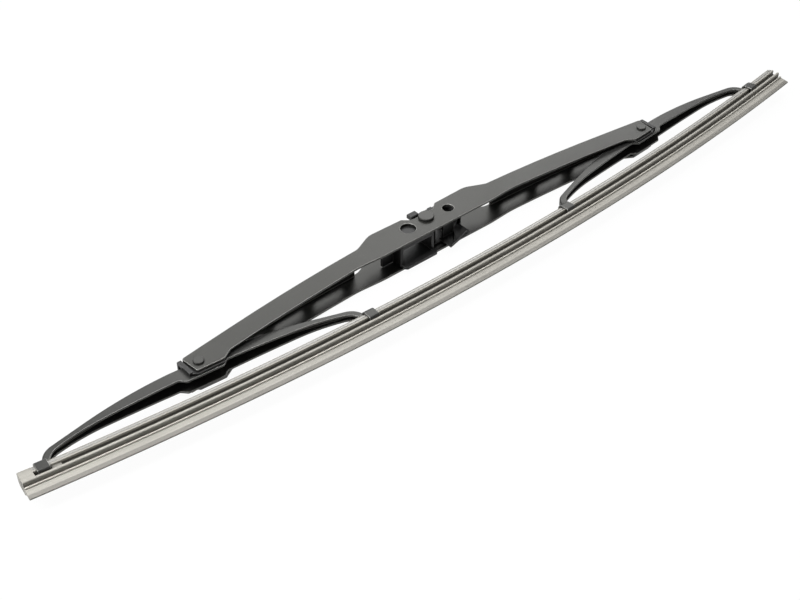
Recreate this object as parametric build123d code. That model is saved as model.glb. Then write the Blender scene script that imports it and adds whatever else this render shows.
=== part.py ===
from build123d import *
from math import atan2, degrees, hypot
import os

os.makedirs("parts", exist_ok=True)

# Bracket wiper blade, lying on its side.  +X runs along the blade, +Y points from the glass to the
# wiper arm, +Z is the direction of the rivets.  Origin: centre of the middle rivet.  Millimetres.

# Pivots of the two yokes
pivot_reach = 118.0
pivot_drop = 10.7

# Rubber: an arc whose back is turned to the brackets
arc_radius = 1436.0
back_drop = 27.7
rubber_left = 194.0
rubber_right = 206.0
crown_half = 2.4
crown_depth = 1.3
slot_half = 0.8
plate_half = 3.15
plate_thick = 0.95
groove_half = 1.2
groove_depth = 1.8
flange_half = 3.1
flange_thick = 1.2
neck_half = 0.5
neck_depth = 0.7
shoulder_half = 1.7
shoulder_thick = 0.7
lip_root_half = 1.05
lip_mid_half = 0.6
lip_edge_half = 0.3
lip_taper = 2.3
lip_depth = 3.9
crown_round = 0.43
flange_round = 0.48
shoulder_round = 0.23
end_block = 4.7
stop_start = 11.0
stop_length = 3.5
stop_half = 2.3

# Spring rails in the side slots of the rubber
rail_thick = 0.85
rail_inner = 0.9
rail_outer = 3.15
rail_gap = 0.05
rail_end_gap = 0.6
rail_notch_inset = 2.4
rail_notch_length = 1.2
rail_notch_depth = 0.6

# Main bridge
sheet = 1.0
bend_radius = 1.2
mid_half = 6.4
end_half = 5.1
taper_end = 14.0
plan_blend = 400.0
notch_half = 6.0
notch_floor = 2.7
notch_top_half = 9.0
ear_inner_y = 5.3
ear_crest_x = 25.9
ear_crest_y = 5.75
ear_crest_radius = 9.0
foot_x = 34.8
foot_y = 1.7
foot_radius = 6.0
web_start = 37.0
arm_top_bow = 1.2
arm_low_bow = 0.5
mid_low = -8.3
mid_low_half = 29.5
arm_low_x = 41.0
arm_low_y = -7.5
low_ease_radius = 60.0
tip_out = 4.2
tip_up = 4.95
heel_out = 3.1
heel_down = 3.8
lobe_in = 8.2
lobe_down = 4.6
jog_in = 12.6
jog_down = 2.1
corner_radius = 1.0
air_slot_count = 3
air_slot_first = 50.75
air_slot_pitch = 20.5
air_slot_length = 14.5
air_slot_width = 4.6
air_slot_radius = 1.2
large_hole_x = -10.4
large_hole_radius = 3.2
small_hole_x = 11.1
small_hole_radius = 2.4
side_hole_y = -0.9

# Rivets
pivot_shank = 2.5
pivot_head = 3.3
pivot_head_high = 1.2
pivot_tail_high = 0.3
yoke_shank = 1.6
yoke_head = 2.1
yoke_head_high = 0.8
yoke_tail_high = 0.35
head_bevel = 0.3
tail_bevel = 0.1
shank_gap = 0.05

# Yokes, drawn about their own pivot
yoke_sheet = 0.85
yoke_bend = 0.8
yoke_half = 3.15
yoke_tip_half = 1.7
yoke_taper_start = 12.0
yoke_taper_end = 6.0
yoke_plan_blend = 60.0
claw_reach = 66.6
claw_length = 4.6
claw_gap = 0.15
claw_sheet = 0.6
claw_shoulder = 2.0
claw_bend = 0.8
finger_gap = 0.2
lobe_half = 10.0
lobe_top = 2.65
lobe_low = -5.1
lobe_low_half = 7.6
arm_low = -2.95
jog_radius = 0.8
# Stations on the upper and lower edge of an arm: inwards of the claw, above the rubber's back
arm_upper = [(20.5, 9.3), (6.5, 6.2), (0.9, 0.55)]
arm_lower = [(26.5, 6.95), (8.0, 4.0), (3.8, 0.5)]

# Liners between bridge and yokes
liner_half = 3.25
liner_bridge_gap = 0.05
liner_lip = 0.6
liner_top_gap = 1.4
liner_head = 8.5
rim_gap = 0.3
rim_thick = 1.6
rim_half = 4.8
rim_short = 1.2
rim_over = 0.4
rim_bar = 0.8
rim_radius = 1.0

# Hook adapter
adapter_half = 5.2
side_plate = 0.6
side_top = 5.2
side_low = -5.2
guide_high = 5.0
guide_right = 15.2
guide_wall = 1.1
guide_roof_left = 10.5
pin_gap = 0.4
hub_radius = 4.0
box_half = 4.8
tail_left = -25.5
box_left = -20.0
box_right = -2.6
box_low = -8.0
box_high = -1.5
box_wall = 1.3
box_end_wall = 1.2
lip_low = -10.7
lip_overhang = 0.4
lug_left = -4.9
lug_right = -0.8
lug_low = 3.4
lug_high = 6.6
lug_half = 6.6
bit_left = 5.2
bit_right = 7.3
bit_high = 5.6
bit_radius = 0.4
web_left = 4.0
web_right = 9.6
web_high = -5.1
web_thick = 1.2
tongue_low = -12.6
tongue_foot = 2.7
tongue_left = 4.7
tongue_right = 13.9
tongue_bottom = -3.3
tongue_slant = 1.7
tongue_flank = -2.8
tongue_level = -2.0
tongue_sheet = 0.8
ramp_foot = 9.7
ramp_head = 11.55
ramp_top = -0.15
crest = 13.1
crest_top = 0.25
crest_drop = 0.8
crest_thick = 1.7
crest_back = 0.8
crest_radius = 0.5
scoop_depth = 1.5

arc_centre = arc_radius - back_drop
pivot_radius = hypot(pivot_reach, arc_centre + pivot_drop)
yoke_tilt = degrees(atan2(pivot_reach, arc_centre + pivot_drop))
far = 60.0
face_lean = 0.4
edge_lean = 0.3


def rounded(face, *corners):
    """A flat outline with the corner nearest to each given point rounded to the given radius."""
    for x, y, radius in corners:
        face = fillet(face.vertices().sort_by_distance((x, y, 0))[0], radius)
    return face


def through(radius, x, y):
    """A cylinder along the rivet direction, long enough to pass through everything."""
    return Pos(x, y) * Cylinder(radius, 2 * far)


def slab(left, right, low, high, bottom, top):
    """A box given by its limits."""
    size = (right - left, high - low, top - bottom)
    return Pos((left + right) / 2, (low + high) / 2, (bottom + top) / 2) * Box(*size)


def ring(section, start, length, centre):
    """A section drawn at (radius, height), carried along the rubber's arc from a start length."""
    per_mm = degrees(1 / arc_radius)
    solid = revolve(Plane.XZ * section, Axis.Z, length * per_mm)
    return Pos(0, centre) * Rot(0, 0, start * per_mm - 90) * solid


def band(inner, outer, bottom, top):
    """A rectangular section between two depths from the rubber's back and two heights."""
    middle = Pos(arc_radius + (inner + outer) / 2, (bottom + top) / 2)
    return middle * Rectangle(outer - inner, top - bottom)


def long_top_edges(solid):
    """The edges that run along the blade on the faces turned to the wiper arm."""
    tops = [face for face in solid.faces() if face.normal_at().Y > face_lean]
    return [edge for face in tops for edge in face.edges() if abs(edge.tangent_at(0.5).Z) < edge_lean]


# Main bridge: half of the side view and half of the plan, crossed, then mirrored
tip = (pivot_reach + tip_out, tip_up - pivot_drop)
heel = (pivot_reach + heel_out, -heel_down - pivot_drop)
lobe = (pivot_reach - lobe_in, -lobe_down - pivot_drop)
jog = (pivot_reach - jog_in, -jog_down - pivot_drop)
upper_run = Polyline(
    (0, mid_low),
    (0, notch_floor),
    (notch_half, notch_floor),
    (notch_top_half, ear_inner_y),
    (ear_crest_x, ear_crest_y),
    (foot_x, foot_y),
)
lower_run = Polyline(tip, heel, lobe, jog)
closing_run = Polyline((arm_low_x, arm_low_y), (mid_low_half, mid_low), (0, mid_low))
arm_top = SagittaArc((foot_x, foot_y), tip, arm_top_bow)
arm_bottom = SagittaArc(jog, (arm_low_x, arm_low_y), -arm_low_bow)
bridge_side = rounded(
    make_face(upper_run + arm_top + lower_run + arm_bottom + closing_run),
    (notch_half, notch_floor, corner_radius),
    (notch_top_half, ear_inner_y, corner_radius),
    (ear_crest_x, ear_crest_y, ear_crest_radius),
    (foot_x, foot_y, foot_radius),
    (*tip, corner_radius),
    (*heel, corner_radius),
    (*lobe, corner_radius),
    (*jog, corner_radius),
    (arm_low_x, arm_low_y, low_ease_radius),
    (mid_low_half, mid_low, low_ease_radius),
)


def bridge_plan(inset):
    """Half plan of the bridge between its walls' faces, tapering from the middle to the ends."""
    taper_x = pivot_reach - taper_end
    end_x = pivot_reach + far
    upper = [(0, mid_half - inset), (web_start, mid_half - inset), (taper_x, end_half - inset)]
    upper.append((end_x, end_half - inset))
    lower = [(x, -z) for x, z in reversed(upper)]
    face = make_face(Polyline(*upper, *lower, close=True))
    blends = [(taper_x, end_half - inset, plan_blend), (taper_x, inset - end_half, plan_blend)]
    return extrude(Plane.XZ * rounded(face, *blends), far, both=True)


def under_arm_top(drop):
    """Everything below the top line of an arm, that line lowered by the given drop."""
    run_out = arm_top @ 1 + (arm_top % 1) * far
    roof = Pos(0, -drop) * (arm_top + Line(arm_top @ 1, run_out))
    end = (run_out.X, run_out.Y - drop)
    below = Polyline(end, (run_out.X, -far), (foot_x, -far), (foot_x, foot_y - drop))
    return extrude(make_face(roof + below), far, both=True)


bridge_block = extrude(bridge_side, far, both=True) & bridge_plan(0)
ear_space = slab(-sheet, web_start, -far, far, -far, far)
ears = (bridge_block & ear_space) - bridge_plan(sheet)
rolled = under_arm_top(0) & bridge_plan(0)
rolled = fillet(long_top_edges(rolled), bend_radius)
hollow = under_arm_top(sheet) & bridge_plan(sheet)
arm = ((bridge_block - ear_space) & rolled) - hollow
half_bridge = ears + arm
air_slot = extrude(
    Plane.XZ * RectangleRounded(air_slot_length, air_slot_width, air_slot_radius), far, both=True
)
for index in range(air_slot_count):
    half_bridge -= Pos(air_slot_first + index * air_slot_pitch) * air_slot
main_bridge = half_bridge + mirror(half_bridge, Plane.YZ)
main_bridge -= through(pivot_shank + shank_gap, 0, 0)
main_bridge -= through(large_hole_radius, large_hole_x, side_hole_y)
main_bridge -= through(small_hole_radius, small_hole_x, side_hole_y)
for side in (-1, 1):
    main_bridge -= through(yoke_shank + shank_gap, side * pivot_reach, -pivot_drop)
export_step(main_bridge, "parts/main_bridge.step")


def rivet(shank, half, head, head_high, tail, tail_high):
    """A rivet along Z: shank between the outer wall faces, bevelled head above, flat tail below."""
    top = Pos(0, 0, half + head_high / 2) * Cylinder(head, head_high)
    top = chamfer(top.edges().group_by(Axis.Z)[-1], head_bevel)
    bottom = Pos(0, 0, -half - tail_high / 2) * Cylinder(tail, tail_high)
    bottom = chamfer(bottom.edges().group_by(Axis.Z)[0], tail_bevel)
    return Cylinder(shank, 2 * half) + top + bottom


pivot_rivet = rivet(pivot_shank, mid_half, pivot_head, pivot_head_high, pivot_head, pivot_tail_high)
export_step(pivot_rivet, "parts/pivot_rivet.step")
yoke_rivet = rivet(yoke_shank, end_half, yoke_head, yoke_head_high, yoke_head, yoke_tail_high)
export_step(Pos(-pivot_reach, -pivot_drop) * yoke_rivet, "parts/left_yoke_rivet.step")
export_step(Pos(pivot_reach, -pivot_drop) * yoke_rivet, "parts/right_yoke_rivet.step")

# Liner: two cheeks between bridge wall and yoke, joined by a rim round the end of the bridge
cheek_top = tip[1] - liner_top_gap
rim_inner = tip[0] + rim_gap
rim_outer = rim_inner + rim_thick
liner_low = heel[1] - liner_lip
cheek_side = rounded(
    make_face(
        Polyline(
            (pivot_reach - liner_head, cheek_top),
            (rim_inner + rim_thick / 2, cheek_top),
            (rim_inner + rim_thick / 2, liner_low + rim_short),
            (heel[0], liner_low),
            (pivot_reach - liner_head, lobe[1] - liner_lip),
            close=True,
        )
    ),
    (pivot_reach - liner_head, cheek_top, corner_radius),
    (pivot_reach - liner_head, lobe[1] - liner_lip, corner_radius),
)
liner = extrude(cheek_side, end_half - sheet - liner_bridge_gap, both=True)
liner -= slab(0, pivot_reach + far, -far, far, -liner_half, liner_half)
rim_top = tip[1] + rim_over
rim = slab(rim_inner, rim_outer, liner_low + rim_short, rim_top, -rim_half, rim_half)
rim_corners = [edge for edge in rim.edges().filter_by(Axis.X) if edge.center().Y > rim_top - rim_bar]
rim = fillet(rim_corners, rim_radius)
rim -= slab(0, pivot_reach + far, -far, rim_top - rim_bar, -liner_half, liner_half)
liner = liner + rim - through(yoke_shank + 2 * shank_gap, pivot_reach, -pivot_drop)
export_step(liner, "parts/right_liner.step")
export_step(mirror(liner, Plane.YZ), "parts/left_liner.step")

# Yoke: half of it in its own frame, then mirrored
claw_angle = claw_reach / arc_radius
seat = Vector(0, pivot_radius) + Vector(0, -arc_radius).rotate(Axis.Z, degrees(claw_angle))
top_stops = [seat + Vector(-inward, above) for inward, above in arm_upper]
low_stops = [seat + Vector(-inward, above) for inward, above in arm_lower]


def tangent_run(start, stops, inset):
    """A run of arcs, each tangent to the one before, set inwards by an even distance."""
    heading = Vector(1, 0)
    place = start + Vector(0, -inset)
    run = Curve()
    for before, stop in zip([start, *stops], stops):
        chord = (stop - before).normalized()
        leaving = chord * (2 * heading.dot(chord)) - heading
        arrival = stop + leaving.rotate(Axis.Z, -90) * inset
        run += TangentArc(place, arrival, tangent=heading)
        heading = leaving
        place = arrival
    return run, place


yoke_top, top_end = tangent_run(Vector(lobe_half, lobe_top), top_stops, 0)
yoke_low, low_end = tangent_run(Vector(lobe_half, arm_low), low_stops, 0)
yoke_roof, roof_end = tangent_run(Vector(lobe_half, lobe_top), top_stops, yoke_sheet)
yoke_side = rounded(
    make_face(
        Line((0, lobe_top), (lobe_half, lobe_top))
        + yoke_top
        + Line(top_end, low_end)
        + yoke_low
        + Polyline((lobe_half, arm_low), (lobe_low_half, lobe_low), (0, lobe_low), (0, lobe_top))
    ),
    (lobe_half, arm_low, jog_radius),
    (lobe_low_half, lobe_low, jog_radius),
)
yoke_hollow = make_face(
    Line((0, lobe_top - yoke_sheet), (lobe_half, lobe_top - yoke_sheet))
    + yoke_roof
    + Polyline(roof_end, (roof_end.X, -far), (0, -far), (0, lobe_top - yoke_sheet))
)


def yoke_plan(inset):
    """Half plan of a yoke: parallel over the lobe, then tapering to the claw."""
    half = yoke_half - inset
    tip_half = yoke_tip_half - inset
    taper_x = seat.X - yoke_taper_end
    upper = [(0, half), (yoke_taper_start, half), (taper_x, tip_half), (seat.X + far, tip_half)]
    lower = [(x, -z) for x, z in reversed(upper)]
    blends = [(x, z, yoke_plan_blend) for x, z in upper[1:3] + lower[1:3]]
    face = rounded(make_face(Polyline(*upper, *lower, close=True)), *blends)
    return extrude(Plane.XZ * face, far, both=True)


half_yoke = extrude(yoke_side, far, both=True) & yoke_plan(0)
half_yoke = fillet(long_top_edges(half_yoke), yoke_bend)
half_yoke -= extrude(yoke_hollow, far, both=True) & yoke_plan(yoke_sheet)

# Claw: a C-section round the rubber's head, its fingers in the claw groove
plate_low = crown_depth + rail_thick + 2 * rail_gap + plate_thick
finger_low = plate_low + groove_depth - finger_gap
claw_inner = rail_outer + claw_gap
claw_outer = claw_inner + claw_sheet
roof_high = -claw_gap - claw_sheet
claw_section = rounded(
    band(roof_high, finger_low, -claw_outer, claw_outer),
    (arc_radius + roof_high, claw_outer, claw_shoulder),
    (arc_radius + roof_high, -claw_outer, claw_shoulder),
    (arc_radius + finger_low, claw_outer, claw_bend),
    (arc_radius + finger_low, -claw_outer, claw_bend),
)
claw_section -= rounded(
    band(-claw_gap, finger_low - claw_sheet, -claw_inner, claw_inner),
    (arc_radius - claw_gap, claw_inner, claw_shoulder - claw_sheet),
    (arc_radius - claw_gap, -claw_inner, claw_shoulder - claw_sheet),
)
groove_clear = groove_half + finger_gap
claw_section -= band(-claw_gap, finger_low + claw_sheet, -groove_clear, groove_clear)
claw = ring(claw_section, claw_reach - claw_length / 2, claw_length, pivot_radius)
half_yoke += claw
yoke = half_yoke + mirror(half_yoke, Plane.YZ) - through(yoke_shank + shank_gap, 0, 0)
export_step(Pos(-pivot_reach, -pivot_drop) * Rot(0, 0, -yoke_tilt) * yoke, "parts/left_yoke.step")
export_step(Pos(pivot_reach, -pivot_drop) * Rot(0, 0, yoke_tilt) * yoke, "parts/right_yoke.step")

# Rubber: half of its section, mirrored, carried along the arc
slot_low = crown_depth + rail_thick + 2 * rail_gap
flange_low = plate_low + groove_depth + flange_thick
neck_low = flange_low + neck_depth
shoulder_low = neck_low + shoulder_thick
steps = [
    (0, 0),
    (0, crown_half),
    (crown_depth, crown_half),
    (crown_depth, slot_half),
    (slot_low, slot_half),
    (slot_low, plate_half),
    (plate_low, plate_half),
    (plate_low, groove_half),
    (plate_low + groove_depth, groove_half),
    (plate_low + groove_depth, flange_half),
    (flange_low, flange_half),
    (flange_low, neck_half),
    (neck_low, neck_half),
    (neck_low, shoulder_half),
    (shoulder_low, shoulder_half),
    (shoulder_low, lip_root_half),
    (shoulder_low + lip_taper, lip_mid_half),
    (shoulder_low + lip_depth, lip_edge_half),
    (shoulder_low + lip_depth, 0),
]
half_outline = [(arc_radius + depth, half) for depth, half in steps]
half_section = make_face(Polyline(*half_outline, close=True))
half_section = rounded(
    half_section,
    (arc_radius, crown_half, crown_round),
    (arc_radius + plate_low + groove_depth, flange_half, flange_round),
    (arc_radius + flange_low, flange_half, flange_round),
    (arc_radius + neck_low, shoulder_half, shoulder_round),
    (arc_radius + shoulder_low, shoulder_half, shoulder_round),
)
section = half_section + mirror(half_section, Plane.XZ)
rubber = ring(section, -rubber_left, rubber_left + rubber_right, arc_centre)
filled_low = plate_low + groove_depth + flange_thick / 2
block_section = band(crown_depth / 2, filled_low, -rail_outer, rail_outer)
rubber += ring(block_section, -rubber_left, end_block, arc_centre)
stop_section = band(slot_low + plate_thick / 2, filled_low, -stop_half, stop_half)
rubber += ring(stop_section, stop_start - rubber_left, stop_length, arc_centre)
export_step(rubber, "parts/wiping_rubber.step")

rail_start = end_block + rail_gap - rubber_left
rail_stop = rubber_right - rail_end_gap
rail_top = crown_depth + rail_gap
rail_section = band(rail_top, rail_top + rail_thick, rail_inner, rail_outer)
rail = ring(rail_section, rail_start, rail_stop - rail_start, arc_centre)
notch_band = band(0, plate_low, rail_outer - rail_notch_depth, rail_outer + rail_thick)
rail -= ring(notch_band, rail_stop - rail_notch_inset, rail_notch_length, arc_centre)
export_step(rail, "parts/upper_rail.step")
export_step(mirror(rail, Plane.XY), "parts/lower_rail.step")

# Hook adapter: hub on the rivet, open box and tail to the left, thin side plates, tongue to the right
side_face = rounded(
    make_face(
        Polyline(
            (box_left + box_end_wall, box_low),
            (box_left + box_end_wall, lug_low),
            (lug_left, lug_low),
            (lug_left, lug_high),
            (lug_right, lug_high),
            (lug_right, side_top),
            (bit_left, side_top),
            (bit_left, bit_high),
            (bit_right, bit_high),
            (bit_right, guide_high),
            (guide_right, guide_high),
            (guide_right, side_low),
            (web_right, side_low),
            (web_right, web_high - web_thick),
            (web_left, web_high - web_thick),
            (web_left, side_low),
            (box_right, side_low),
            (box_right, box_low),
            close=True,
        )
    ),
    (box_left + box_end_wall, lug_low, corner_radius),
    (lug_left, lug_high, corner_radius),
    (lug_right, lug_high, corner_radius),
    (bit_right, bit_high, bit_radius),
    (guide_right, guide_high, corner_radius),
    (guide_right, side_low, corner_radius),
)
hook_half = adapter_half - side_plate
hook_space = slab(-far, far, -far, far, -hook_half, hook_half)
sides = extrude(side_face, adapter_half, both=True) - hook_space
lugs = slab(lug_left, lug_right, lug_low, lug_high, -lug_half, lug_half)
lugs = fillet(lugs.edges().filter_by(Axis.X), side_plate) - hook_space
guide = slab(guide_right - guide_wall, guide_right, side_low, guide_high, -hook_half, hook_half)
guide += slab(guide_roof_left, guide_right, guide_high - guide_wall, guide_high, -hook_half, hook_half)
guide &= extrude(side_face, hook_half, both=True)
box = slab(box_left, box_right, box_low, box_high, -box_half, box_half)
box = fillet(box.edges().filter_by(Axis.Z).group_by(Axis.X)[0], corner_radius)
box += slab(tail_left, box_left + box_end_wall, box_high - box_wall, box_high, -box_half, box_half)
recess_half = box_half - box_wall
recess_left = box_left + box_end_wall
recess_right = box_right - box_wall
box -= slab(recess_left, recess_right, -far, far, -recess_half, recess_half)
lip_left = box_left + lip_overhang
lip_right = box_right + lip_overhang
lip = slab(lip_left, lip_right, lip_low, box_low + box_wall, -box_half, -recess_half)
lip = chamfer(lip.edges().filter_by(Axis.Z).group_by(Axis.Y)[0], corner_radius)
web = slab(web_left, web_right, web_high - web_thick, web_high, -adapter_half, adapter_half)
tongue_side = rounded(
    make_face(
        Polyline(
            (tongue_foot, tongue_bottom),
            (tongue_foot, tongue_flank),
            (tongue_left, tongue_level),
            (ramp_foot, tongue_level),
            (ramp_head, ramp_top),
            (crest, crest_top),
            (tongue_right, crest_top - crest_drop),
            (tongue_right, crest_top - crest_thick),
            (ramp_foot + tongue_sheet, tongue_bottom),
            close=True,
        )
    ),
    (crest, crest_top, crest_radius),
    (tongue_right, crest_top - crest_drop, crest_radius),
)
tongue_plan = make_face(
    Polyline(
        (tongue_foot, web_high),
        (tongue_foot, tongue_low),
        (ramp_foot, tongue_low + tongue_slant),
        (tongue_right, tongue_low + crest_back),
        (tongue_right, web_high),
        close=True,
    )
)
tongue = extrude(Plane.XZ * tongue_side, far, both=True) & extrude(tongue_plan, far, both=True)
scoop = make_face(
    Polyline(
        (ramp_foot + tongue_sheet, tongue_level - tongue_sheet / 2),
        (ramp_head + tongue_sheet / 2, ramp_top - tongue_sheet),
        (tongue_right - tongue_sheet, crest_top - crest_drop - tongue_sheet / 2),
        close=True,
    )
)
tongue -= Pos(0, tongue_low + tongue_slant) * extrude(Plane.XZ * scoop, scoop_depth, both=True)
adapter = Cylinder(hub_radius, 2 * box_half) + sides + lugs + guide + box + lip + web + tongue
adapter -= through(pivot_shank + shank_gap, 0, 0)
adapter -= through(small_hole_radius + pin_gap, small_hole_x, side_hole_y)
export_step(adapter, "parts/hook_adapter.step")
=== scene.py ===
from math import pi, radians, sin, tan

import bmesh
import bpy
import numpy as np
from mathutils import Matrix, Vector


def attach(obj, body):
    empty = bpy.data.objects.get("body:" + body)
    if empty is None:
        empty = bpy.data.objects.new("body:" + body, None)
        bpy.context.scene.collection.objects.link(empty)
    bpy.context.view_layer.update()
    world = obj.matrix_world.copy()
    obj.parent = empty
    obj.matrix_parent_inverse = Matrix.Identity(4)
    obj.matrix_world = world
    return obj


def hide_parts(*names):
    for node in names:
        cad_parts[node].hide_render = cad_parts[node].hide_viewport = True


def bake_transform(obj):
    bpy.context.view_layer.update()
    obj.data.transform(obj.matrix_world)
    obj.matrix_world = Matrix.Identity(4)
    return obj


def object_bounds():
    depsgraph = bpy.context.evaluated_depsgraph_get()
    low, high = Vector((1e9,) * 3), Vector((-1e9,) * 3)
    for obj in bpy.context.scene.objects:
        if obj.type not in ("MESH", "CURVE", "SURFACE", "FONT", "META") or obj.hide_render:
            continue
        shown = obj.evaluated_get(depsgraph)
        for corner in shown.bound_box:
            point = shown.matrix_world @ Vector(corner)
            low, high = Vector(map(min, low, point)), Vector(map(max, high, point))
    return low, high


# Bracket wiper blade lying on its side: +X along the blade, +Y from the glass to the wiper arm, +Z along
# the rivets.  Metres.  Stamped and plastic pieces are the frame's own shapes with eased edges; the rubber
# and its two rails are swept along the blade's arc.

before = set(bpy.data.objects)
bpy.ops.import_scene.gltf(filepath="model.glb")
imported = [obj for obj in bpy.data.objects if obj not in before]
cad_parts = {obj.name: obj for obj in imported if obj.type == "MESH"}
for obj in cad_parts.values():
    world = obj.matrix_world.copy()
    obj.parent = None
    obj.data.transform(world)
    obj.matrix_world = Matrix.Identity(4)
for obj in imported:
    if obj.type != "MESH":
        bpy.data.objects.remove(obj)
frame_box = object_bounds()

MM = 0.001

# The blade's arc: its centre lies on the arm side of the blade
ARC_RADIUS = 1436.0 * MM
BACK_DROP = 27.7 * MM
ARC_CENTRE = ARC_RADIUS - BACK_DROP
RUBBER_LEFT = 194.0 * MM
RUBBER_RIGHT = 206.0 * MM
SWEEP_STEP = 2.0 * MM

# Half section of the rubber: depth below its back, half width there, radius of that corner
RUBBER_SECTION = [
    (0.00, 2.40, 0.43),
    (1.30, 2.40, 0.12),
    (1.30, 0.80, 0.0),
    (2.25, 0.80, 0.0),
    (2.25, 3.15, 0.15),
    (3.20, 3.15, 0.20),
    (3.20, 1.20, 0.25),
    (5.00, 1.20, 0.25),
    (5.00, 3.10, 0.48),
    (6.20, 3.10, 0.48),
    (6.20, 0.50, 0.12),
    (6.90, 0.50, 0.12),
    (6.90, 1.70, 0.23),
    (7.60, 1.70, 0.23),
    (7.60, 1.05, 0.10),
    (9.90, 0.60, 0.0),
    (11.50, 0.30, 0.08),
]
RUBBER_DEEP = 11.5 * MM
FLANGE_MID = 5.6 * MM

# Tone of the rubber at each depth (mm) below its back, with a darker band at the wiping edge; the dark neck
# between flange and shoulder is painted shade
RUBBER_DEPTH_TONES = [
    (0.00, 0.31),
    (1.30, 0.31),
    (2.25, 0.39),
    (4.80, 0.39),
    (5.05, 0.43),
    (6.10, 0.43),
    # painted shade in the neck crease between flange and shoulder
    (6.30, 0.18),
    (6.80, 0.18),
    (6.95, 0.58),
    (7.55, 0.58),
    (7.65, 0.46),
    (9.75, 0.46),
    (10.00, 0.27),
    (11.50, 0.27),
]
# Painted shade in the claw groove between the rail plate and the flange: its tone, the depths and half
# width it covers, and its soft border
GROOVE_SHADE_TONE = 0.12
GROOVE_TOP = 3.2 * MM
GROOVE_LOW = 5.0 * MM
GROOVE_HALF = 2.4 * MM
GROOVE_SOFT = 0.2 * MM
POWDER_TINT = (1.0, 0.965, 0.87)

# Closed end of the rubber, and the small stop behind the end claw
END_BLOCK = 4.7 * MM
END_BLOCK_HALF = 3.15 * MM
END_BLOCK_TOP = 0.65 * MM
END_BLOCK_EDGE = 0.25 * MM
STOP_START = 11.0 * MM
STOP_LENGTH = 3.5 * MM
STOP_HALF = 2.3 * MM
STOP_TOP = 2.725 * MM
STOP_EDGE = 0.2 * MM

# Spring rails
RAIL_TOP = 1.35 * MM
RAIL_THICK = 0.85 * MM
RAIL_INNER = 0.9 * MM
RAIL_OUTER = 3.15 * MM
RAIL_GAP = 0.05 * MM
RAIL_END_GAP = 0.6 * MM
RAIL_EDGE = 0.12 * MM
RAIL_NOTCH_INSET = 2.4 * MM
RAIL_NOTCH_LENGTH = 1.2 * MM
RAIL_NOTCH_DEPTH = 0.6 * MM

# How far the edges of each kind of piece are eased, and the fold from which an edge counts as one
BRIDGE_EASE = 0.26 * MM
YOKE_EASE = 0.22 * MM
ADAPTER_EASE = 0.12 * MM
RIVET_EASE = 0.18 * MM
LINER_EASE = 0.12 * MM
EASE_FROM = radians(50)

# Points this close are one point, faces this level are one face, and strip edges folded so far stay crisp
SAME_POINT = 0.0005 * MM
SAME_STRIP_POINT = 0.001 * MM
SAME_FACE = radians(0.5)
CRISP_FROM = radians(30)

# Camera: where it looks, from which side, how far away, and its lens on a 36 mm sensor
LOOK_AT = Vector((-36.8, -27.1, 0.0)) * MM
VIEW_BACK = Vector((-0.4906, -0.5810, 0.6494)).normalized()
VIEW_FAR = 519.0 * MM
VIEW_LENS = 60.58
SENSOR = 36.0

FLOOR_GAP = 0.1 * MM
FLOOR_SIDE = 8.0
FLOOR_WHITE = 0.92
FLOOR_MIRRORED = 0.8
FLOOR_GREY = 0.5
FLOOR_GLOW = 1.05

# Where the studio is brightest, and how bright it is on the dark and the bright side
BRIGHT_SIDE = (0.20, 0.70, 0.68)
DIM_LEVEL = 0.08
BRIGHT_LEVEL = 0.4
DIM_UP_TO = -0.2
BRIGHT_FROM = 0.75

# Soft boxes: place, aim, length along the blade, width, power in watts
SOFT_BOXES = {
    "key_strip": ((-0.05, 0.02, 0.62), (-0.05, 0, 0), 0.72, 0.12, 1.95),
    "left_box": ((-0.45, 0.10, 0.40), (0, 0, 0), 0.25, 0.25, 2.1),
    "sheen_box": ((0.46, 0.62, 0.60), (0, 0, 0), 0.86, 0.38, 3.45),
}


def new_object(name, mesh):
    """A scene object that carries a mesh."""
    thing = bpy.data.objects.new(name, mesh)
    bpy.context.scene.collection.objects.link(thing)
    return thing


def baked(thing, name):
    """The object's shape with its modifiers worked in, as a plain mesh on a new object."""
    bpy.context.view_layer.update()
    view = bpy.context.evaluated_depsgraph_get()
    mesh = bpy.data.meshes.new_from_object(thing.evaluated_get(view))
    bpy.data.objects.remove(thing)
    mesh.name = name
    return new_object(name, mesh)


# Shader groups shared by several finishes


def group(name, inputs, outputs):
    """An empty shader group with named sockets."""
    tree = bpy.data.node_groups.new(name, "ShaderNodeTree")
    for label, kind, value in inputs:
        socket = tree.interface.new_socket(label, in_out="INPUT", socket_type=kind)
        if value is not None:
            socket.default_value = value
    for label, kind in outputs:
        tree.interface.new_socket(label, in_out="OUTPUT", socket_type=kind)
    return tree, tree.nodes.new("NodeGroupInput"), tree.nodes.new("NodeGroupOutput")


def noise(tree, place, scale, detail, rough=0.5):
    """A noise texture over the given coordinates; scale and detail may be numbers or sockets."""
    node = tree.nodes.new("ShaderNodeTexNoise")
    tree.links.new(place, node.inputs["Vector"])
    for label, value in (("Scale", scale), ("Detail", detail), ("Roughness", rough)):
        if isinstance(value, bpy.types.NodeSocket):
            tree.links.new(value, node.inputs[label])
        else:
            node.inputs[label].default_value = value
    return node.outputs["Fac"]


def spread(tree, value, low_in, high_in, low_out, high_out):
    """Maps a value from one range to another, held at its ends."""
    node = tree.nodes.new("ShaderNodeMapRange")
    tree.links.new(value, node.inputs["Value"])
    given = zip(("From Min", "From Max", "To Min", "To Max"), (low_in, high_in, low_out, high_out))
    for label, number in given:
        if isinstance(number, bpy.types.NodeSocket):
            tree.links.new(number, node.inputs[label])
        else:
            node.inputs[label].default_value = number
    return node.outputs["Result"]


def maths(tree, kind, first, second):
    """One sum, product or the like of two sockets or numbers."""
    node = tree.nodes.new("ShaderNodeMath")
    node.operation = kind
    for socket, value in zip(node.inputs, (first, second)):
        if isinstance(value, bpy.types.NodeSocket):
            tree.links.new(value, socket)
        else:
            socket.default_value = value
    return node.outputs["Value"]


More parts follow.
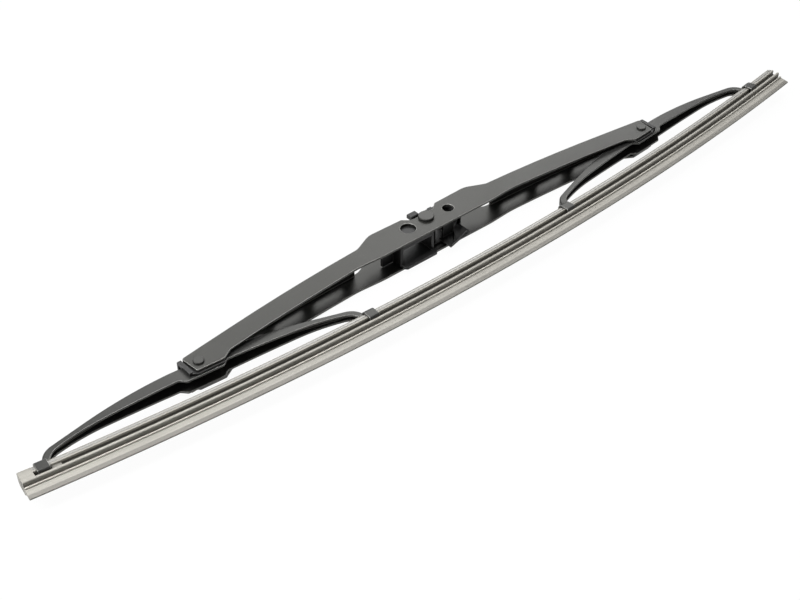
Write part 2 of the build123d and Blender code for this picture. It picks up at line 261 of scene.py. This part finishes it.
def tinted(tree, kind, amount, first, second):
    """A colour mix; amount and the two colours may be sockets or values."""
    node = tree.nodes.new("ShaderNodeMix")
    node.data_type = "RGBA"
    node.blend_type = kind
    sockets = [s for s in node.inputs if s.enabled]
    for socket, value in zip(sockets, (amount, first, second)):
        if isinstance(value, bpy.types.NodeSocket):
            tree.links.new(value, socket)
        elif isinstance(value, tuple):
            socket.default_value = (*value, 1.0)
        else:
            socket.default_value = value
    return [s for s in node.outputs if s.enabled][0]


def paint_grain():
    """Fine speckle of sprayed paint with slow clouds over it: a shade about 1, and a height."""
    tree, given, made = group(
        "paint_grain",
        [
            ("Place", "NodeSocketVector", None),
            ("Grain", "NodeSocketFloat", 2600.0),
            ("Contrast", "NodeSocketFloat", 0.16),
        ],
        [("Shade", "NodeSocketFloat"), ("Height", "NodeSocketFloat")],
    )
    place = given.outputs["Place"]
    fine = noise(tree, place, given.outputs["Grain"], 2.0)
    slow = noise(tree, place, 45.0, 3.0)
    low = maths(tree, "SUBTRACT", 1.0, given.outputs["Contrast"])
    high = maths(tree, "ADD", 1.0, given.outputs["Contrast"])
    speckle = spread(tree, fine, 0.3, 0.7, low, high)
    cloud = spread(tree, slow, 0.3, 0.7, 0.94, 1.06)
    tree.links.new(maths(tree, "MULTIPLY", speckle, cloud), made.inputs["Shade"])
    tree.links.new(fine, made.inputs["Height"])
    return tree


def long_streaks():
    """Draw marks that run along the blade: a shade about 1, and a height."""
    tree, given, made = group(
        "long_streaks",
        [
            ("Place", "NodeSocketVector", None),
            ("Fineness", "NodeSocketFloat", 900.0),
            ("Contrast", "NodeSocketFloat", 0.06),
        ],
        [("Shade", "NodeSocketFloat"), ("Height", "NodeSocketFloat")],
    )
    stretch = tree.nodes.new("ShaderNodeVectorMath")
    stretch.operation = "MULTIPLY"
    stretch.inputs[1].default_value = (0.02, 1.0, 1.0)
    tree.links.new(given.outputs["Place"], stretch.inputs[0])
    streak = noise(tree, stretch.outputs["Vector"], given.outputs["Fineness"], 3.0, 0.6)
    low = maths(tree, "SUBTRACT", 1.0, given.outputs["Contrast"])
    high = maths(tree, "ADD", 1.0, given.outputs["Contrast"])
    tree.links.new(spread(tree, streak, 0.3, 0.7, low, high), made.inputs["Shade"])
    tree.links.new(streak, made.inputs["Height"])
    return tree


def dust():
    """Sparse pale flecks, as dust on a dark part: a mask."""
    tree, given, made = group(
        "dust",
        [("Place", "NodeSocketVector", None), ("Share", "NodeSocketFloat", 0.05)],
        [("Mask", "NodeSocketFloat")],
    )
    place = given.outputs["Place"]
    flecks = noise(tree, place, 1500.0, 1.0)
    patches = noise(tree, place, 70.0, 2.0)
    picked = spread(tree, flecks, 0.66, 0.76, 0.0, 1.0)
    settled = spread(tree, patches, 0.45, 0.7, 0.0, given.outputs["Share"])
    tree.links.new(maths(tree, "MULTIPLY", picked, settled), made.inputs["Mask"])
    return tree


PAINT_GRAIN = paint_grain()
LONG_STREAKS = long_streaks()
DUST = dust()


def placed(tree, kind, place, **values):
    """A shader group set into a material's tree."""
    node = tree.nodes.new("ShaderNodeGroup")
    node.node_tree = kind
    tree.links.new(place, node.inputs["Place"])
    for label, value in values.items():
        node.inputs[label].default_value = value
    return node


def finish(name):
    """An empty material: its tree, its Principled shader and its object coordinates."""
    material = bpy.data.materials.new(name)
    material.use_nodes = True
    tree = material.node_tree
    shader = tree.nodes["Principled BSDF"]
    place = tree.nodes.new("ShaderNodeTexCoord").outputs["Object"]
    return material, tree, shader, place


def shaded(tree, colour, shade):
    """A plain colour times a shade socket."""
    node = tree.nodes.new("ShaderNodeVectorMath")
    node.operation = "SCALE"
    node.inputs[0].default_value = colour
    tree.links.new(shade, node.inputs["Scale"])
    return node.outputs["Vector"]


def bumped(tree, shader, height, distance, strength):
    """Feeds a height to the shader's normal."""
    node = tree.nodes.new("ShaderNodeBump")
    node.inputs["Distance"].default_value = distance
    node.inputs["Strength"].default_value = strength
    tree.links.new(height, node.inputs["Height"])
    tree.links.new(node.outputs["Normal"], shader.inputs["Normal"])


# Finishes


def satin_paint(name, colour, rough, contrast=0.16, metal=0.0):
    """Dark satin paint on pressed steel; metal sets its metallic share, which the eased-edge paint raises
    for a painted highlight.
    """
    material, tree, shader, place = finish(name)
    speckle = placed(tree, PAINT_GRAIN, place, Grain=2600.0, Contrast=contrast)
    flecks = placed(tree, DUST, place, Share=0.10)
    coat = shaded(tree, colour, speckle.outputs["Shade"])
    dusty = tinted(tree, "MIX", flecks.outputs["Mask"], coat, (0.25, 0.25, 0.24))
    tree.links.new(dusty, shader.inputs["Base Color"])
    shader.inputs["Specular Tint"].default_value = (1.0, 1.0, 0.95, 1.0)
    shader.inputs["Metallic"].default_value = metal
    gloss = spread(tree, speckle.outputs["Shade"], 0.8, 1.2, rough - 0.05, rough + 0.07)
    tree.links.new(gloss, shader.inputs["Roughness"])
    bumped(tree, shader, speckle.outputs["Height"], 0.04 * MM, 0.25)
    return material


def moulded_plastic(name, colour, rough, shine=0.5):
    """Black injection-moulded plastic with a fine eroded texture."""
    material, tree, shader, place = finish(name)
    grain = placed(tree, PAINT_GRAIN, place, Grain=4200.0, Contrast=0.12)
    flecks = placed(tree, DUST, place, Share=0.16)
    body = shaded(tree, colour, grain.outputs["Shade"])
    dusty = tinted(tree, "MIX", flecks.outputs["Mask"], body, (0.16, 0.16, 0.155))
    tree.links.new(dusty, shader.inputs["Base Color"])
    shader.inputs["Specular IOR Level"].default_value = shine
    gloss = spread(tree, grain.outputs["Shade"], 0.85, 1.15, rough - 0.04, rough + 0.08)
    tree.links.new(gloss, shader.inputs["Roughness"])
    bumped(tree, shader, grain.outputs["Height"], 0.03 * MM, 0.2)
    return material


def strip_place(tree):
    """Coordinates that follow the arc: length along it, depth below the rubber's back, height."""
    node = tree.nodes.new("ShaderNodeAttribute")
    node.attribute_name = "strip"
    split = tree.nodes.new("ShaderNodeSeparateXYZ")
    tree.links.new(node.outputs["Vector"], split.inputs["Vector"])
    return node.outputs["Vector"], split.outputs["Y"], split.outputs["Z"]


def rubber_colour(tone):
    """The rubber's colour at a given tone, with its warm tint."""
    return tuple(tone * part for part in POWDER_TINT)


def grey_rubber(name):
    """Powdered grey rubber: draw marks along the strip, a darker wiping edge, painted shade in the neck and
    the claw groove.
    """
    material, tree, shader, _ = finish(name)
    place, depth, height = strip_place(tree)
    streaks = placed(tree, LONG_STREAKS, place, Fineness=1500.0, Contrast=0.07)
    grain = placed(tree, PAINT_GRAIN, place, Grain=2200.0, Contrast=0.06)
    shade = maths(tree, "MULTIPLY", streaks.outputs["Shade"], grain.outputs["Shade"])
    ramp = tree.nodes.new("ShaderNodeValToRGB")
    tones = ramp.color_ramp.elements
    while len(tones) < len(RUBBER_DEPTH_TONES):
        tones.new(1.0)
    for element, (level, tone) in zip(tones, RUBBER_DEPTH_TONES):
        element.position = level * MM / RUBBER_DEEP
        element.color = (*rubber_colour(tone), 1.0)
    tree.links.new(maths(tree, "DIVIDE", depth, RUBBER_DEEP), ramp.inputs["Fac"])
    # Painted shade in the claw groove
    away = maths(tree, "ABSOLUTE", height, 0)
    inwards = spread(tree, away, GROOVE_HALF - GROOVE_SOFT, GROOVE_HALF, 1.0, 0.0)
    below = spread(tree, depth, GROOVE_TOP - GROOVE_SOFT, GROOVE_TOP, 0.0, 1.0)
    above = spread(tree, depth, GROOVE_LOW - GROOVE_SOFT, GROOVE_LOW, 1.0, 0.0)
    groove_shade = maths(tree, "MULTIPLY", maths(tree, "MULTIPLY", below, above), inwards)
    tone = tinted(tree, "MIX", groove_shade, ramp.outputs["Color"], rubber_colour(GROOVE_SHADE_TONE))
    scaled = tree.nodes.new("ShaderNodeVectorMath")
    scaled.operation = "SCALE"
    tree.links.new(tone, scaled.inputs[0])
    tree.links.new(shade, scaled.inputs["Scale"])
    tree.links.new(scaled.outputs["Vector"], shader.inputs["Base Color"])
    gloss = spread(tree, shade, 0.85, 1.15, 0.62, 0.48)
    tree.links.new(gloss, shader.inputs["Roughness"])
    bumped(tree, shader, streaks.outputs["Height"], 0.03 * MM, 0.3)
    return material


def spring_steel(name):
    """Bright rolled spring steel with fine draw marks."""
    material, tree, shader, _ = finish(name)
    place, _, _ = strip_place(tree)
    streaks = placed(tree, LONG_STREAKS, place, Fineness=2600.0, Contrast=0.10)
    tree.links.new(shaded(tree, (0.42, 0.415, 0.40), streaks.outputs["Shade"]), shader.inputs["Base Color"])
    shader.inputs["Metallic"].default_value = 1.0
    gloss = spread(tree, streaks.outputs["Shade"], 0.9, 1.1, 0.44, 0.58)
    tree.links.new(gloss, shader.inputs["Roughness"])
    bumped(tree, shader, streaks.outputs["Height"], 0.01 * MM, 0.3)
    return material


BRIDGE_PAINT = satin_paint("bridge_paint", (0.024, 0.024, 0.022), 0.38)
YOKE_PAINT = satin_paint("yoke_paint", (0.030, 0.030, 0.029), 0.37)
RIVET_PAINT = satin_paint("rivet_paint", (0.026, 0.026, 0.025), 0.36, contrast=0.10)
# Eased-edge paint: lighter and partly metallic as a painted highlight along the edges, over paint worn thin
# there
EDGE_HIGHLIGHT_PAINT = satin_paint("edge_highlight_paint", (0.25, 0.25, 0.24), 0.30, contrast=0.10, metal=0.7)
LINER_PLASTIC = moulded_plastic("liner_plastic", (0.018, 0.018, 0.018), 0.45)
# Lighter copy of the liner plastic for its eased edges: painted highlight
LINER_EDGE = moulded_plastic("liner_edge", (0.10, 0.10, 0.097), 0.26)
ADAPTER_PLASTIC = moulded_plastic("adapter_plastic", (0.015, 0.015, 0.015), 0.40, shine=0.36)
# Lighter copy of the adapter plastic for its eased edges: painted highlight
ADAPTER_EDGE = moulded_plastic("adapter_edge", (0.055, 0.055, 0.053), 0.28)
RUBBER = grey_rubber("grey_rubber")
RAIL_STEEL = spring_steel("rail_steel")


# Stamped and moulded pieces: the frame's shapes with eased edges


def eased(node, body, material, edge_material, ease):
    """A copy of a frame node with its faces joined and its edges eased, in place of the node."""
    shape = bmesh.new()
    shape.from_mesh(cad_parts[node].data)
    bmesh.ops.remove_doubles(shape, verts=shape.verts, dist=SAME_POINT)
    bmesh.ops.dissolve_limit(
        shape, angle_limit=SAME_FACE, verts=shape.verts, edges=shape.edges, delimit={"NORMAL"}
    )
    mesh = bpy.data.meshes.new(node + "_eased")
    shape.to_mesh(mesh)
    shape.free()
    mesh.materials.clear()
    mesh.materials.append(material)
    mesh.materials.append(edge_material)
    piece = new_object(node + "_eased", mesh)
    bevel = piece.modifiers.new("ease", "BEVEL")
    bevel.width = ease
    bevel.segments = 2
    bevel.limit_method = "ANGLE"
    bevel.angle_limit = EASE_FROM
    bevel.use_clamp_overlap = False
    # The eased edges take the edge material, lighter than the faces as a painted highlight
    bevel.material = 1
    level = piece.modifiers.new("level", "WEIGHTED_NORMAL")
    level.keep_sharp = True
    mesh.polygons.foreach_set("use_smooth", [True] * len(mesh.polygons))
    piece = baked(piece, node + "_eased")
    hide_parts(node)
    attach(piece, body)
    return piece


eased("main_bridge", "bridge", BRIDGE_PAINT, EDGE_HIGHLIGHT_PAINT, BRIDGE_EASE)
eased("left_yoke", "left_yoke", YOKE_PAINT, EDGE_HIGHLIGHT_PAINT, YOKE_EASE)
eased("right_yoke", "right_yoke", YOKE_PAINT, EDGE_HIGHLIGHT_PAINT, YOKE_EASE)
eased("hook_adapter", "adapter", ADAPTER_PLASTIC, ADAPTER_EDGE, ADAPTER_EASE)
for rivet in ("pivot_rivet", "left_yoke_rivet", "right_yoke_rivet"):
    eased(rivet, "bridge", RIVET_PAINT, EDGE_HIGHLIGHT_PAINT, RIVET_EASE)
for liner in ("left_liner", "right_liner"):
    eased(liner, "bridge", LINER_PLASTIC, LINER_EDGE, LINER_EASE)


# Rubber and rails: sections swept along the blade's arc


def swept_strip():
    """Geometry Nodes tree: carries the outline it is given along the blade's arc as a closed strip."""
    tree = bpy.data.node_groups.new("swept_strip", "GeometryNodeTree")
    for label, kind in (
        ("Section", "NodeSocketGeometry"),
        ("Arc Radius", "NodeSocketFloat"),
        ("Arc Centre", "NodeSocketFloat"),
        ("Start", "NodeSocketFloat"),
        ("Length", "NodeSocketFloat"),
        ("Steps", "NodeSocketInt"),
        ("Finish", "NodeSocketMaterial"),
    ):
        tree.interface.new_socket(label, in_out="INPUT", socket_type=kind)
    tree.interface.new_socket("Strip", in_out="OUTPUT", socket_type="NodeSocketGeometry")
    given = tree.nodes.new("NodeGroupInput").outputs
    made = tree.nodes.new("NodeGroupOutput")

    def step(kind, **links):
        node = tree.nodes.new(kind)
        for label, value in links.items():
            socket = node.inputs[label.replace("_", " ")]
            if isinstance(value, bpy.types.NodeSocket):
                tree.links.new(value, socket)
            else:
                socket.default_value = value
        return node

    outline = step("GeometryNodeMeshToCurve", Mesh=given["Section"])
    start = maths(tree, "SUBTRACT", maths(tree, "DIVIDE", given["Start"], given["Arc Radius"]), pi / 2)
    turn = maths(tree, "DIVIDE", given["Length"], given["Arc Radius"])
    count = maths(tree, "ADD", given["Steps"], 1)
    arc = step(
        "GeometryNodeCurveArc",
        Resolution=count,
        Radius=given["Arc Radius"],
        Start_Angle=start,
        Sweep_Angle=turn,
    )
    centre = step("ShaderNodeCombineXYZ", Y=given["Arc Centre"])
    moved = step(
        "GeometryNodeTransform", Geometry=arc.outputs["Curve"], Translation=centre.outputs["Vector"]
    )
    upright = step("GeometryNodeSetCurveNormal", Curve=moved.outputs["Geometry"])
    upright.mode = "Z_UP"
    strip = step(
        "GeometryNodeCurveToMesh",
        Curve=upright.outputs["Curve"],
        Profile_Curve=outline.outputs["Curve"],
        Fill_Caps=True,
    )
    whole = step("GeometryNodeRealizeInstances", Geometry=strip.outputs["Mesh"])
    dressed = step(
        "GeometryNodeSetMaterial", Geometry=whole.outputs["Geometry"], Material=given["Finish"]
    )
    tree.links.new(dressed.outputs["Geometry"], made.inputs["Strip"])
    return tree


SWEPT_STRIP = swept_strip()


def rounded_outline(corners, steps=4):
    """Points of a closed outline whose corners (x, y, radius) are turned into arcs."""
    points = []
    total = len(corners)
    for index, (x, y, radius) in enumerate(corners):
        here = Vector((x, y))
        before = (Vector(corners[index - 1][:2]) - here).normalized()
        after = (Vector(corners[(index + 1) % total][:2]) - here).normalized()
        if radius == 0:
            points.append(here)
            continue
        half = before.angle(after) / 2
        reach = radius / tan(half)
        centre = here + (before + after).normalized() * (radius / sin(half))
        first = here + before * reach - centre
        sweep = first.angle_signed(here + after * reach - centre)
        for step in range(steps + 1):
            turned = first.copy()
            turned.rotate(Matrix.Rotation(-sweep * step / steps, 2))
            points.append(centre + turned)
    return points


def section_object(name, corners):
    """An outline drawn at (depth, width) as a ring of edges."""
    points = rounded_outline(corners)
    count = len(points)
    mesh = bpy.data.meshes.new(name)
    ring = [(index, (index + 1) % count) for index in range(count)]
    mesh.from_pydata([(p.x, p.y, 0) for p in points], ring, [])
    return new_object(name, mesh)


def swept(name, corners, start, length, material):
    """A closed strip: the outline carried along the arc from a start length."""
    strip = section_object(name, corners)
    sweep = strip.modifiers.new("sweep", "NODES")
    sweep.node_group = SWEPT_STRIP
    sockets = {s.name: s.identifier for s in SWEPT_STRIP.interface.items_tree if s.in_out == "INPUT"}
    sweep[sockets["Arc Radius"]] = ARC_RADIUS
    sweep[sockets["Arc Centre"]] = ARC_CENTRE
    sweep[sockets["Start"]] = start
    sweep[sockets["Length"]] = length
    sweep[sockets["Steps"]] = max(1, round(length / SWEEP_STEP))
    sweep[sockets["Finish"]] = material
    strip = baked(strip, name)
    shape = bmesh.new()
    shape.from_mesh(strip.data)
    bmesh.ops.remove_doubles(shape, verts=shape.verts, dist=SAME_STRIP_POINT)
    bmesh.ops.recalc_face_normals(shape, faces=shape.faces)
    shape.to_mesh(strip.data)
    shape.free()
    return strip


def with_boolean(piece, name, kind, other):
    """The piece joined with, or cut by, another closed shape, which is used up."""
    cut = piece.modifiers.new("cut", "BOOLEAN")
    cut.operation = kind
    cut.object = other
    cut.solver = "EXACT"
    result = baked(piece, name)
    bpy.data.objects.remove(other)
    return result


def band(top, low, half, edge):
    """A rectangular outline between two depths, as wide to both sides."""
    return [(top, -half, edge), (top, half, edge), (low, half, edge), (low, -half, edge)]


def finished_strip(piece, material):
    """Smooth shading between crisp edges, and coordinates that follow the arc."""
    mesh = piece.data
    mesh.materials.clear()
    mesh.materials.append(material)
    mesh.polygons.foreach_set("use_smooth", [True] * len(mesh.polygons))
    mesh.polygons.foreach_set("material_index", [0] * len(mesh.polygons))
    mesh.set_sharp_from_angle(angle=CRISP_FROM)
    places = np.zeros(len(mesh.vertices) * 3)
    mesh.vertices.foreach_get("co", places)
    places = places.reshape(-1, 3)
    across = np.hypot(places[:, 0], places[:, 1] - ARC_CENTRE) - ARC_RADIUS
    along = np.arctan2(places[:, 0], ARC_CENTRE - places[:, 1]) * ARC_RADIUS
    strip = mesh.attributes.new("strip", "FLOAT_VECTOR", "POINT")
    strip.data.foreach_set("vector", np.column_stack([along, across, places[:, 2]]).ravel())
    return piece


def bends(piece):
    """Works the half strip's placement into its mesh."""
    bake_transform(piece)


def rubber_half(side):
    """Left or right half of the wiping rubber."""
    name = "rubber_left" if side < 0 else "rubber_right"
    upper = [(depth * MM, half * MM, radius * MM) for depth, half, radius in RUBBER_SECTION]
    lower = [(depth, -half, radius) for depth, half, radius in reversed(upper)]
    start = -RUBBER_LEFT if side < 0 else 0.0
    length = RUBBER_LEFT if side < 0 else RUBBER_RIGHT
    piece = swept(name, upper + lower, start, length, RUBBER)
    if side < 0:
        block = band(END_BLOCK_TOP, FLANGE_MID, END_BLOCK_HALF, END_BLOCK_EDGE)
        end = swept("rubber_end", block, start, END_BLOCK, RUBBER)
        piece = with_boolean(piece, name, "UNION", end)
        stop = band(STOP_TOP, FLANGE_MID, STOP_HALF, STOP_EDGE)
        catch = swept("rubber_stop", stop, start + STOP_START, STOP_LENGTH, RUBBER)
        piece = with_boolean(piece, name, "UNION", catch)
    finished_strip(piece, RUBBER)
    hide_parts("wiping_rubber")
    bends(piece)
    return piece


def rail_half(node, height, side):
    """Left or right half of a spring rail; height is 1 for the upper rail and -1 for the lower."""
    name = node + ("_left" if side < 0 else "_right")
    low = RAIL_TOP + RAIL_THICK
    inner = -height * RAIL_INNER
    outer = -height * RAIL_OUTER
    corners = [
        (RAIL_TOP, inner, RAIL_EDGE),
        (RAIL_TOP, outer, RAIL_EDGE),
        (low, outer, RAIL_EDGE),
        (low, inner, RAIL_EDGE),
    ]
    start = END_BLOCK + RAIL_GAP - RUBBER_LEFT if side < 0 else 0.0
    stop = 0.0 if side < 0 else RUBBER_RIGHT - RAIL_END_GAP
    piece = swept(name, corners, start, stop - start, RAIL_STEEL)
    if side > 0:
        deep = -height * (RAIL_OUTER - RAIL_NOTCH_DEPTH)
        past = -height * (RAIL_OUTER + RAIL_THICK)
        notch = [(0, deep, 0), (0, past, 0), (2 * low, past, 0), (2 * low, deep, 0)]
        cutter = swept("rail_notch", notch, stop - RAIL_NOTCH_INSET, RAIL_NOTCH_LENGTH, RAIL_STEEL)
        piece = with_boolean(piece, name, "DIFFERENCE", cutter)
    finished_strip(piece, RAIL_STEEL)
    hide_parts(node)
    bends(piece)
    return piece


for side in (-1, 1):
    rubber_half(side)
    rail_half("upper_rail", 1, side)
    rail_half("lower_rail", -1, side)


# Stage: white floor that keeps a faint shadow, soft light, camera


def white_floor():
    """A floor that reads white to the camera and in reflections, and still takes a shadow."""
    material = bpy.data.materials.new("white_floor")
    material.use_nodes = True
    tree = material.node_tree
    tree.nodes.clear()
    out = tree.nodes.new("ShaderNodeOutputMaterial")
    matt = tree.nodes.new("ShaderNodeBsdfDiffuse")
    matt.inputs["Color"].default_value = (FLOOR_GREY, FLOOR_GREY, FLOOR_GREY, 1)
    glow = tree.nodes.new("ShaderNodeEmission")
    glow.inputs["Color"].default_value = (1, 1, 1, 1)
    glow.inputs["Strength"].default_value = FLOOR_GLOW
    path = tree.nodes.new("ShaderNodeLightPath")
    seen = maths(tree, "MAXIMUM", path.outputs["Is Camera Ray"], path.outputs["Is Transmission Ray"])
    mirrored = maths(tree, "MULTIPLY", path.outputs["Is Glossy Ray"], FLOOR_MIRRORED)
    share = maths(tree, "MULTIPLY", maths(tree, "MAXIMUM", seen, mirrored), FLOOR_WHITE)
    mix = tree.nodes.new("ShaderNodeMixShader")
    tree.links.new(share, mix.inputs["Fac"])
    tree.links.new(matt.outputs["BSDF"], mix.inputs[1])
    tree.links.new(glow.outputs["Emission"], mix.inputs[2])
    tree.links.new(mix.outputs["Shader"], out.inputs["Surface"])
    return material


def floor():
    """A large plain floor just below the blade."""
    half = FLOOR_SIDE / 2
    level = frame_box[0].z - FLOOR_GAP
    corners = [(-half, -half, level), (half, -half, level), (half, half, level), (-half, half, level)]
    mesh = bpy.data.meshes.new("floor")
    mesh.from_pydata(corners, [], [(0, 1, 2, 3)])
    mesh.materials.append(white_floor())
    new_object("floor", mesh)


def surroundings():
    """Pale light that falls off from the bright side to the dim side, white to the camera."""
    world = bpy.data.worlds.new("studio")
    world.use_nodes = True
    tree = world.node_tree
    back = tree.nodes["Background"]
    back.inputs["Color"].default_value = (1, 1, 1, 1)
    towards = tree.nodes.new("ShaderNodeVectorMath")
    towards.operation = "DOT_PRODUCT"
    tree.links.new(tree.nodes.new("ShaderNodeTexCoord").outputs["Generated"], towards.inputs[0])
    towards.inputs[1].default_value = BRIGHT_SIDE
    facing = towards.outputs["Value"]
    level = spread(tree, facing, DIM_UP_TO, BRIGHT_FROM, DIM_LEVEL, BRIGHT_LEVEL)
    path = tree.nodes.new("ShaderNodeLightPath")
    seen = maths(tree, "MAXIMUM", path.outputs["Is Camera Ray"], path.outputs["Is Transmission Ray"])
    tree.links.new(maths(tree, "MAXIMUM", seen, level), back.inputs["Strength"])
    bpy.context.scene.world = world


def soft_light(name, place, aim, length, width, power):
    """A soft box at a place, turned to a point, its length along the blade."""
    lamp = bpy.data.lights.new(name, "AREA")
    lamp.shape = "RECTANGLE"
    lamp.size = length
    lamp.size_y = width
    lamp.energy = power
    box = bpy.data.objects.new(name, lamp)
    away = (Vector(place) - Vector(aim)).normalized()
    across = away.cross(Vector((1, 0, 0))).normalized()
    turn = Matrix((across.cross(away), across, away)).transposed().to_4x4()
    box.matrix_world = Matrix.Translation(place) @ turn
    bpy.context.scene.collection.objects.link(box)


def camera():
    """The viewpoint: square to the horizon, with the image's right level."""
    right = Vector((0, 0, 1)).cross(VIEW_BACK).normalized()
    up = VIEW_BACK.cross(right)
    view = bpy.data.cameras.new("view")
    view.lens = VIEW_LENS
    view.sensor_width = SENSOR
    view.clip_start = 10 * MM
    eye = bpy.data.objects.new("view", view)
    turn = Matrix((right, up, VIEW_BACK)).transposed().to_4x4()
    eye.matrix_world = Matrix.Translation(LOOK_AT + VIEW_BACK * VIEW_FAR) @ turn
    bpy.context.scene.collection.objects.link(eye)
    bpy.context.scene.camera = eye


floor()
surroundings()
for name, values in SOFT_BOXES.items():
    soft_light(name, *values)
camera()
bpy.context.scene.view_settings.view_transform = "Standard"
